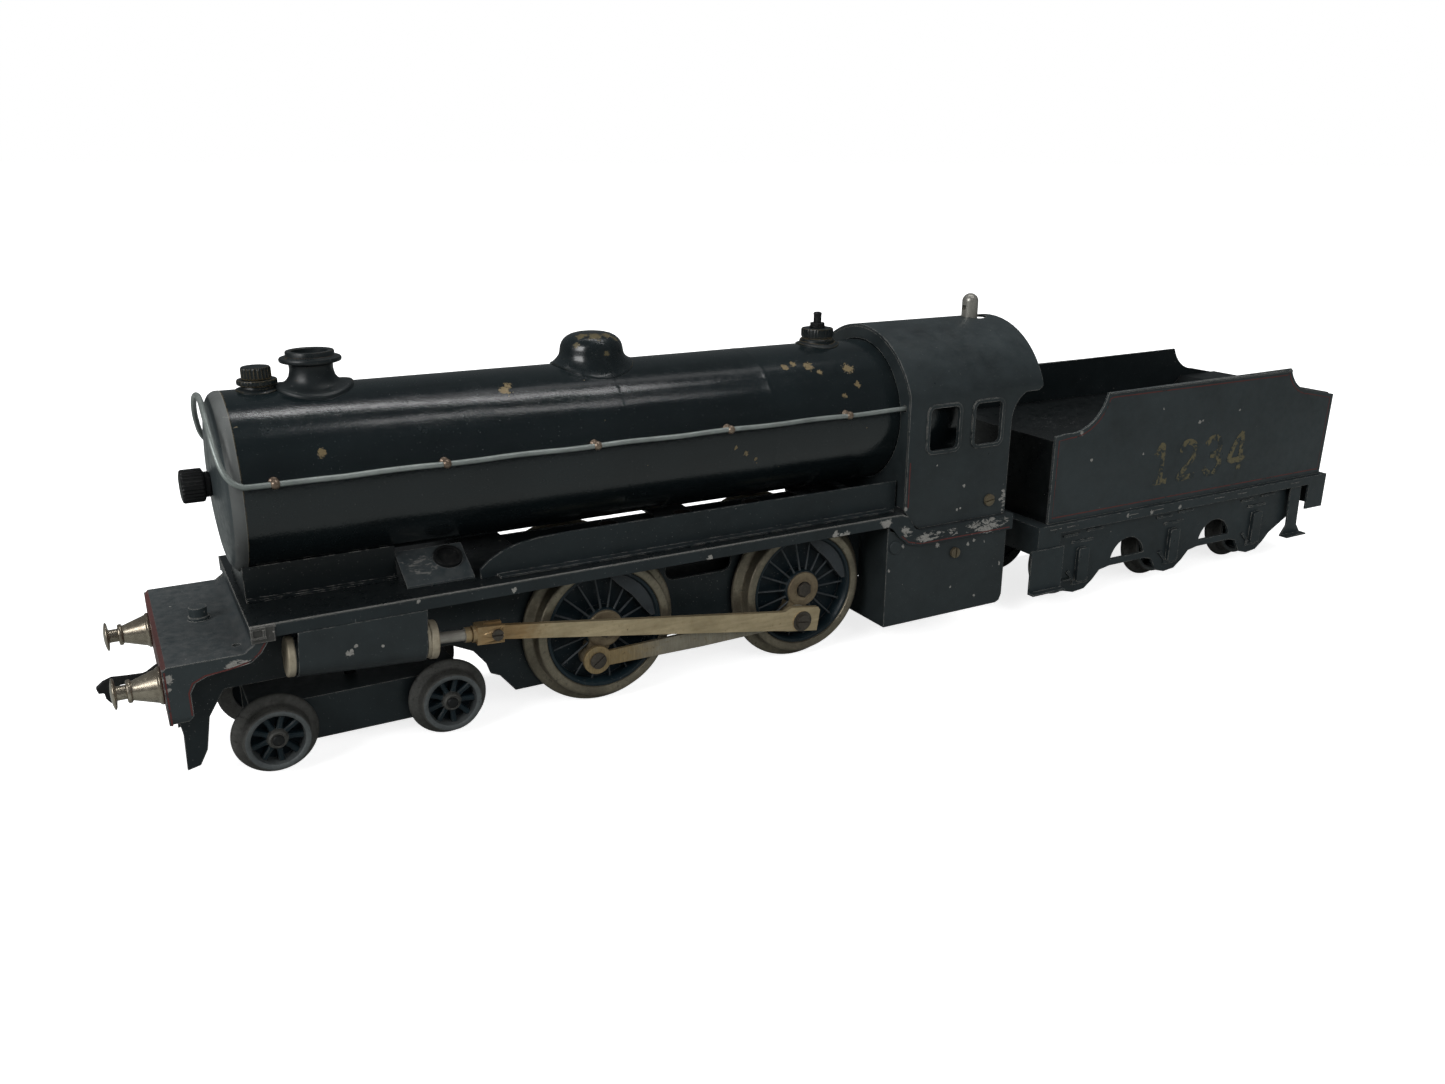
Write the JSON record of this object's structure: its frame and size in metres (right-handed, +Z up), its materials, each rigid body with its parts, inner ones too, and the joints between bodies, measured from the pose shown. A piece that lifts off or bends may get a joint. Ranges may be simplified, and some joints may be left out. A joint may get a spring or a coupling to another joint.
{
  "type": "model steam locomotive",
  "caption": "Model steam locomotive with tender, outside cylinders and working rods, leading bogie, spoked drivers and handrails, in worn black enamel.",
  "frame": {"origin": "on the flat surface under the wheel flanges, at the middle of the overall length and width", "axes": "+X from the front buffers towards the tender, +Y to the right-hand side of the locomotive, +Z up"},
  "size_m": [0.4324, 0.0628, 0.1058],
  "materials": {
    "black_enamel": "aged semi-gloss black enamel with worn edges",
    "boiler_enamel": "glossy black enamel over brass, chipped",
    "sheet_enamel": "satin grey-black enamel with thin red lining",
    "nickel": "worn nickel plate",
    "bright_steel": "bright steel with oily grime",
    "brass": "tarnished brass",
    "iron": "grimy cast iron",
    "dark_steel": "blackened steel",
    "wire": "dull galvanised wire",
    "spring_steel": "spring steel"
  },
  "bodies": {
    "locomotive": {"axle_bushes": "brass", "body_screws": "brass", "boiler_barrel": "boiler_enamel", "boiler_fittings": "dark_steel", "boiler_flue": "brass", "buffer_stocks": "nickel", "cab_front": "black_enamel", "cab_shell": "sheet_enamel", "chimney": "boiler_enamel", "coupling_hook": "dark_steel", "cylinder_cladding": "black_enamel", "cylinder_covers": "nickel", "cylinders": "black_enamel", "dome": "boiler_enamel", "fire_shields": "black_enamel", "firebox_casing": "sheet_enamel", "footplate": "black_enamel", "front_platform": "sheet_enamel", "handrail": "wire", "handrail_knobs": "brass", "lubricator": "black_enamel", "main_frames": "black_enamel", "pivot_pins": "dark_steel", "saddle": "black_enamel", "smokebox_front": "boiler_enamel", "spirit_lamp": "black_enamel", "steam_chest": "black_enamel", "whistle": "nickel"},
    "front_knob": {"front_knob": "dark_steel"},
    "filler_cap": {"filler_cap": "dark_steel"},
    "safety_valve_stem": {"safety_valve_stem": "dark_steel"},
    "buffer_left": {"buffer_plunger_left": "nickel", "buffer_spring_left": "spring_steel"},
    "buffer_right": {"buffer_plunger_right": "nickel", "buffer_spring_right": "spring_steel"},
    "bogie": {"bogie_frame": "black_enamel"},
    "bogie_front_axle": {"bogie_front_wheelset": "iron"},
    "bogie_rear_axle": {"bogie_rear_wheelset": "iron"},
    "front_driver": {"front_driving_wheels": "dark_steel", "front_driving_tyres": "bright_steel"},
    "rear_driver": {"rear_driving_wheels": "dark_steel", "rear_driving_tyres": "bright_steel"},
    "drawbar": {"drawbar": "bright_steel"},
    "tender": {"tender_body": "sheet_enamel", "tender_deck": "black_enamel", "tender_footplate": "black_enamel", "tender_frames": "black_enamel", "tender_steps": "black_enamel", "tender_couplings": "dark_steel"},
    "tender_front_axle": {"tender_front_wheelset": "iron"},
    "tender_middle_axle": {"tender_middle_wheelset": "iron"},
    "tender_rear_axle": {"tender_rear_wheelset": "iron"},
    "piston_left": {"piston_left": "brass"},
    "connecting_rod_left": {"connecting_rod_left": "brass"},
    "coupling_rod_left": {"coupling_rod_left": "bright_steel"},
    "eccentric_rod_left": {"eccentric_rod_left": "bright_steel"},
    "piston_right": {"piston_right": "brass"},
    "connecting_rod_right": {"connecting_rod_right": "brass"},
    "coupling_rod_right": {"coupling_rod_right": "bright_steel"},
    "eccentric_rod_right": {"eccentric_rod_right": "bright_steel"}
  },
  "joints": [
    {"name": "front_knob_turn", "type": "hinge", "parent": "locomotive", "child": "front_knob", "pos_m": [-0.185, 0, 0.072], "axis": [-1, 0, 0], "continuous": true},
    {"name": "filler_cap_turn", "type": "hinge", "parent": "locomotive", "child": "filler_cap", "pos_m": [-0.1713, 0, 0.096], "axis": [0, 0, 1], "continuous": true},
    {"name": "safety_valve_lift", "type": "slide", "parent": "locomotive", "child": "safety_valve_stem", "axis": [0, 0, 1], "range_m": [0, 0.001], "stiffness_N_per_m": 250},
    {"name": "buffer_push_left", "type": "slide", "parent": "locomotive", "child": "buffer_left", "axis": [1, 0, 0], "range_m": [0, 0.002], "stiffness_N_per_m": 400, "deforming": ["buffer_spring_left"]},
    {"name": "buffer_push_right", "type": "slide", "parent": "locomotive", "child": "buffer_right", "axis": [1, 0, 0], "range_m": [0, 0.002], "stiffness_N_per_m": 400, "deforming": ["buffer_spring_right"]},
    {"name": "bogie_swivel", "type": "hinge", "parent": "locomotive", "child": "bogie", "pos_m": [-0.15705, 0, 0.016], "axis": [0, 0, 1], "range_deg": [-4, 4]},
    {"name": "bogie_front_axle_spin", "type": "hinge", "parent": "bogie", "child": "bogie_front_axle", "pos_m": [-0.1789, 0, 0.0105], "axis": [0, 1, 0], "continuous": true},
    {"name": "bogie_rear_axle_spin", "type": "hinge", "parent": "bogie", "child": "bogie_rear_axle", "pos_m": [-0.1352, 0, 0.0105], "axis": [0, 1, 0], "continuous": true},
    {"name": "rear_driver_spin", "type": "hinge", "parent": "locomotive", "child": "rear_driver", "pos_m": [-0.0257, 0, 0.0227], "axis": [0, 1, 0], "continuous": true},
    {"name": "front_driver_spin", "type": "hinge", "parent": "locomotive", "child": "front_driver", "pos_m": [-0.0911, 0, 0.0227], "axis": [0, 1, 0], "continuous": true},
    {"name": "coupling_rod_pin_left", "type": "hinge", "parent": "rear_driver", "child": "coupling_rod_left", "pos_m": [-0.0291, -0.021, 0.01469], "axis": [0, 1, 0], "continuous": true},
    {"name": "eccentric_strap_left", "type": "hinge", "parent": "rear_driver", "child": "eccentric_rod_left", "pos_m": [-0.02386, -0.007, 0.02192], "axis": [0, 1, 0], "continuous": true},
    {"name": "piston_stroke_left", "type": "slide", "parent": "locomotive", "child": "piston_left", "axis": [-0.9973, 0, 0.0732], "range_m": [-0.01115, 0.00625]},
    {"name": "crosshead_pin_left", "type": "hinge", "parent": "piston_left", "child": "connecting_rod_left", "pos_m": [-0.12389, -0.0234, 0.02991], "axis": [0, 1, 0], "range_deg": [-10.12, 0.28]},
    {"name": "coupling_rod_pin_right", "type": "hinge", "parent": "rear_driver", "child": "coupling_rod_right", "pos_m": [-0.03371, 0.021, 0.0261], "axis": [0, 1, 0], "continuous": true},
    {"name": "eccentric_strap_right", "type": "hinge", "parent": "rear_driver", "child": "eccentric_rod_right", "pos_m": [-0.02648, 0.007, 0.02086], "axis": [0, 1, 0], "continuous": true},
    {"name": "piston_stroke_right", "type": "slide", "parent": "locomotive", "child": "piston_right", "axis": [-0.9973, 0, 0.0732], "range_m": [-0.0169, 0.00051]},
    {"name": "crosshead_pin_right", "type": "hinge", "parent": "piston_right", "child": "connecting_rod_right", "pos_m": [-0.12962, 0.0234, 0.03033], "axis": [0, 1, 0], "range_deg": [-3.53, 6.87]},
    {"name": "drawbar_swing", "type": "hinge", "parent": "locomotive", "child": "drawbar", "pos_m": [0.041, 0, 0.0296], "axis": [0, 0, 1], "range_deg": [-8, 8]},
    {"name": "tender_swing", "type": "hinge", "parent": "drawbar", "child": "tender", "pos_m": [0.069, 0, 0.0296], "axis": [0, 0, 1], "range_deg": [-8, 8]},
    {"name": "tender_front_axle_spin", "type": "hinge", "parent": "tender", "child": "tender_front_axle", "pos_m": [0.0843, 0, 0.0136], "axis": [0, 1, 0], "continuous": true},
    {"name": "tender_middle_axle_spin", "type": "hinge", "parent": "tender", "child": "tender_middle_axle", "pos_m": [0.1295, 0, 0.0136], "axis": [0, 1, 0], "continuous": true},
    {"name": "tender_rear_axle_spin", "type": "hinge", "parent": "tender", "child": "tender_rear_axle", "pos_m": [0.1747, 0, 0.0136], "axis": [0, 1, 0], "continuous": true}
  ],
  "couplings": [
    {"joint": "front_driver_spin", "follows": "rear_driver_spin", "ratio": 1},
    {"joint": "coupling_rod_pin_left", "follows": "rear_driver_spin", "ratio": -1},
    {"joint": "eccentric_strap_left", "follows": "rear_driver_spin", "ratio": -1},
    {"joint": "coupling_rod_pin_right", "follows": "rear_driver_spin", "ratio": -1},
    {"joint": "eccentric_strap_right", "follows": "rear_driver_spin", "ratio": -1}
  ]
}
